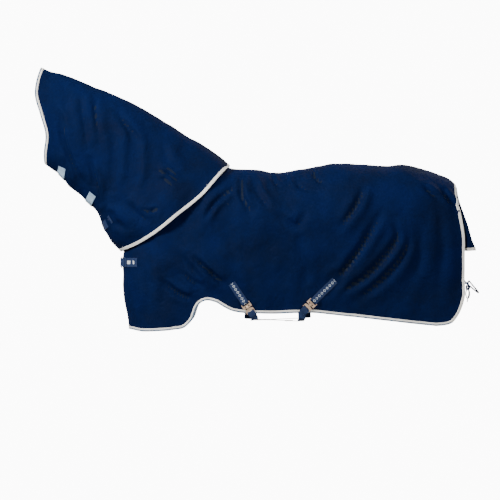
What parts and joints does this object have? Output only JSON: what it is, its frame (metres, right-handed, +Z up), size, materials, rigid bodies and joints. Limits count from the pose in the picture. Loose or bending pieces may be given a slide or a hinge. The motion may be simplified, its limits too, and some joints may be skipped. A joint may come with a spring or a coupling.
{
  "type": "turnout rug with neck cover",
  "caption": "Navy turnout rug for a horse in its worn shape, with a neck cover, chest buckles, crossing belly straps and a tail flap.",
  "frame": {"origin": "centre of the flat underside of the wither pad, in the middle plane", "axes": "the horse faces -X, its near (left) side faces -Y, +Z is up"},
  "size_m": [2.5832, 0.6029, 1.5363],
  "materials": {
    "shell_fabric": "matt woven polyester",
    "lining_fabric": "smooth polyester",
    "binding_tape": "matt woven tape",
    "navy_tape": "matt woven tape",
    "seam_tape": "coated tape",
    "fleece": "deep pile",
    "webbing": "woven webbing",
    "pale_webbing": "hook and loop tape",
    "reflective": "retroreflective tape",
    "brass": "polished, pale",
    "cord": "braided"
  },
  "bodies": {
    "rug": {"outer_shell_near": "shell_fabric", "lining_near": "lining_fabric", "hem_binding_near": "binding_tape", "front_binding_near": "binding_tape", "rear_binding_near": "binding_tape", "neckline_binding_near": "navy_tape", "outer_shell_off": "shell_fabric", "lining_off": "lining_fabric", "hem_binding_off": "binding_tape", "front_binding_off": "binding_tape", "rear_binding_off": "binding_tape", "neckline_binding_off": "navy_tape", "spine_tape": "seam_tape", "wither_pad": "fleece", "withers_fastening": "seam_tape", "chest_strap_upper": "webbing", "chest_billet_upper": "webbing", "chest_strap_lower": "webbing", "chest_billet_lower": "webbing", "reflective_strip": "reflective", "surcingle_stub_front": "webbing", "belly_strap_front": "webbing", "surcingle_stub_rear": "webbing", "belly_strap_rear": "webbing", "tail_cord": "cord", "tail_knot_near": "cord", "tail_loop_near": "webbing", "tail_knot_off": "cord", "tail_loop_off": "webbing"},
    "tail_flap": {"tail_flap": "shell_fabric", "tail_flap_binding": "binding_tape"},
    "neck_cover": {"neck_shell_near": "shell_fabric", "neck_lining_near": "lining_fabric", "neck_front_binding_near": "binding_tape", "neck_rear_binding_near": "binding_tape", "throat_binding_near": "navy_tape", "neck_shell_off": "shell_fabric", "neck_lining_off": "lining_fabric", "neck_front_binding_off": "binding_tape", "neck_rear_binding_off": "binding_tape", "throat_binding_off": "navy_tape", "crest_tape": "seam_tape", "throat_patch_1": "pale_webbing", "throat_patch_2": "pale_webbing", "throat_patch_3": "pale_webbing"},
    "throat_tab_1": {"throat_tab_1": "webbing"},
    "throat_tab_2": {"throat_tab_2": "webbing"},
    "throat_tab_3": {"throat_tab_3": "webbing"},
    "chest_frame_upper": {"chest_frame_upper": "brass"},
    "chest_prong_upper": {"chest_prong_upper": "brass"},
    "chest_keeper_upper": {"chest_keeper_upper": "webbing"},
    "chest_frame_lower": {"chest_frame_lower": "brass"},
    "chest_prong_lower": {"chest_prong_lower": "brass"},
    "chest_keeper_lower": {"chest_keeper_lower": "webbing"},
    "surcingle_plate_front": {"surcingle_plate_front": "brass"},
    "surcingle_hook_front": {"surcingle_hook_front": "brass"},
    "surcingle_slider_front": {"surcingle_slider_front": "brass"},
    "surcingle_plate_rear": {"surcingle_plate_rear": "brass"},
    "surcingle_hook_rear": {"surcingle_hook_rear": "brass"},
    "surcingle_slider_rear": {"surcingle_slider_rear": "brass"}
  },
  "joints": [
    {"name": "neck_lift", "type": "hinge", "parent": "rug", "child": "neck_cover", "pos_m": [-0.08418, 0, 0.04512], "axis": [0, 1, 0], "range_deg": [0, 12]},
    {"name": "tail_flap_lift", "type": "hinge", "parent": "rug", "child": "tail_flap", "pos_m": [1.23778, 0, -0.07285], "axis": [0, -1, 0], "range_deg": [0, 80]},
    {"name": "throat_tab_1_open", "type": "hinge", "parent": "neck_cover", "child": "throat_tab_1", "pos_m": [-1.06044, 0.06715, 0.02916], "axis": [0.736, 0.0781, -0.6724], "range_deg": [0, 70]},
    {"name": "throat_tab_2_open", "type": "hinge", "parent": "neck_cover", "child": "throat_tab_2", "pos_m": [-0.88371, 0.09445, -0.12592], "axis": [0.7452, 0.149, -0.6499], "range_deg": [0, 70]},
    {"name": "throat_tab_3_open", "type": "hinge", "parent": "neck_cover", "child": "throat_tab_3", "pos_m": [-0.77996, 0.12127, -0.2694], "axis": [0.471, 0.1466, -0.8699], "range_deg": [0, 70]},
    {"name": "chest_frame_upper_swing", "type": "hinge", "parent": "rug", "child": "chest_frame_upper", "pos_m": [-0.70263, -0.0165, -0.39311], "axis": [0.1454, 0, 0.9894], "range_deg": [0, 10]},
    {"name": "chest_prong_upper_swing", "type": "hinge", "parent": "chest_frame_upper", "child": "chest_prong_upper", "pos_m": [-0.70263, -0.0165, -0.39311], "axis": [0.1454, 0, 0.9894], "range_deg": [0, 10]},
    {"name": "chest_keeper_upper_slide", "type": "slide", "parent": "rug", "child": "chest_keeper_upper", "axis": [-0.4725, 0.8813, -0.0011], "range_m": [-0.006, 0.006]},
    {"name": "chest_frame_lower_swing", "type": "hinge", "parent": "rug", "child": "chest_frame_lower", "pos_m": [-0.71545, -0.0165, -0.5132], "axis": [0.0054, 0, 1], "range_deg": [0, 10]},
    {"name": "chest_prong_lower_swing", "type": "hinge", "parent": "chest_frame_lower", "child": "chest_prong_lower", "pos_m": [-0.71545, -0.0165, -0.5132], "axis": [0.0054, 0, 1], "range_deg": [0, 10]},
    {"name": "chest_keeper_lower_slide", "type": "slide", "parent": "rug", "child": "chest_keeper_lower", "axis": [-0.4544, 0.8908, 0], "range_m": [-0.006, 0.002]},
    {"name": "surcingle_plate_front_swing", "type": "hinge", "parent": "rug", "child": "surcingle_plate_front", "pos_m": [0.0073, -0.28671, -0.74785], "axis": [-0.8273, 0.074, -0.5569], "range_deg": [-3, 10]},
    {"name": "surcingle_hook_front_swing", "type": "hinge", "parent": "rug", "child": "surcingle_hook_front", "pos_m": [0.04028, -0.28627, -0.79677], "axis": [-0.8273, 0.074, -0.5569], "range_deg": [-7, 3]},
    {"name": "surcingle_slider_front_slide", "type": "slide", "parent": "rug", "child": "surcingle_slider_front", "axis": [0.5129, 0.8584, 0], "range_m": [-0.05, 0.08]},
    {"name": "surcingle_plate_rear_swing", "type": "hinge", "parent": "rug", "child": "surcingle_plate_rear", "pos_m": [0.39989, -0.29766, -0.73565], "axis": [-0.7027, -0.0294, 0.7108], "range_deg": [-3, 10]},
    {"name": "surcingle_hook_rear_swing", "type": "hinge", "parent": "rug", "child": "surcingle_hook_rear", "pos_m": [0.35792, -0.29526, -0.77704], "axis": [-0.7027, -0.0294, 0.7108], "range_deg": [-7, 3]},
    {"name": "surcingle_slider_rear_slide", "type": "slide", "parent": "rug", "child": "surcingle_slider_rear", "axis": [-0.5083, 0.8612, 0], "range_m": [-0.05, 0.08]}
  ],
  "couplings": [
    {"joint": "surcingle_hook_front_swing", "follows": "surcingle_plate_front_swing", "ratio": -0.69},
    {"joint": "surcingle_hook_rear_swing", "follows": "surcingle_plate_rear_swing", "ratio": -0.69}
  ]
}
